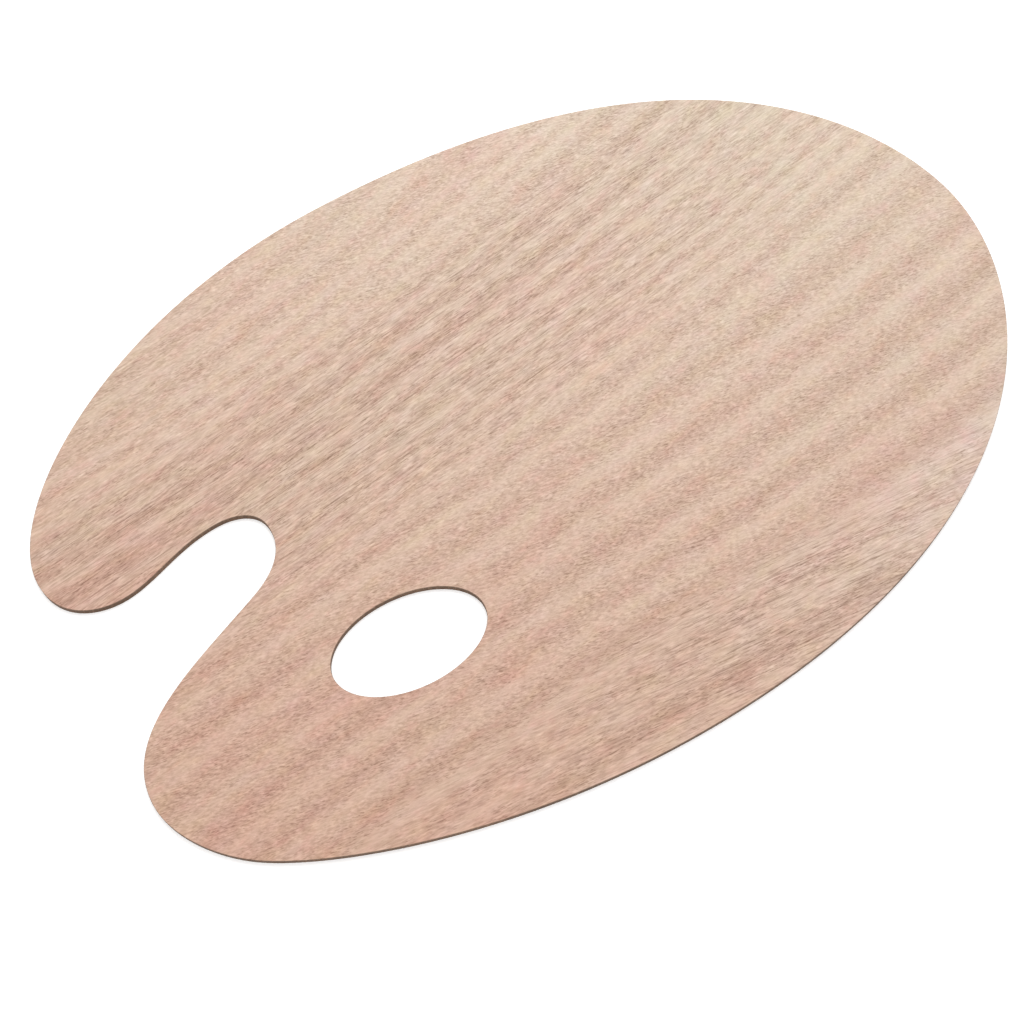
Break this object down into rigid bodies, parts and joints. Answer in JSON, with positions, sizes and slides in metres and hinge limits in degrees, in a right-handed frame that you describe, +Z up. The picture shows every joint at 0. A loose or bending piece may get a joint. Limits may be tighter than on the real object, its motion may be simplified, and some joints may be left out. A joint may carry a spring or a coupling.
{
  "type": "mixing palette",
  "caption": "Flat oval mixing palette cut from thin plywood, with a rim notch for the thumb and an elliptical finger hole beside it.",
  "frame": {"origin": "centre of the board's box in X and Y, on the surface the board lies on", "axes": "+X along the oval's long axis to the free end, +Y across the board to the thumb lobe, +Z up out of the working face"},
  "size_m": [0.432, 0.2986, 0.003],
  "materials": {
    "face_veneer": "bare sanded veneer, pinkish tan with pale ribbon figure and short dark pores",
    "core_ply": "bare, dark brown where the cut edge is scorched",
    "back_veneer": "bare sanded veneer, plainer than the face",
    "glue": "dry brown resin glue"
  },
  "bodies": {
    "root": {"face_veneer": "face_veneer", "upper_glue_line": "glue", "core_ply": "core_ply", "lower_glue_line": "glue", "back_veneer": "back_veneer"}
  },
  "joints": []
}
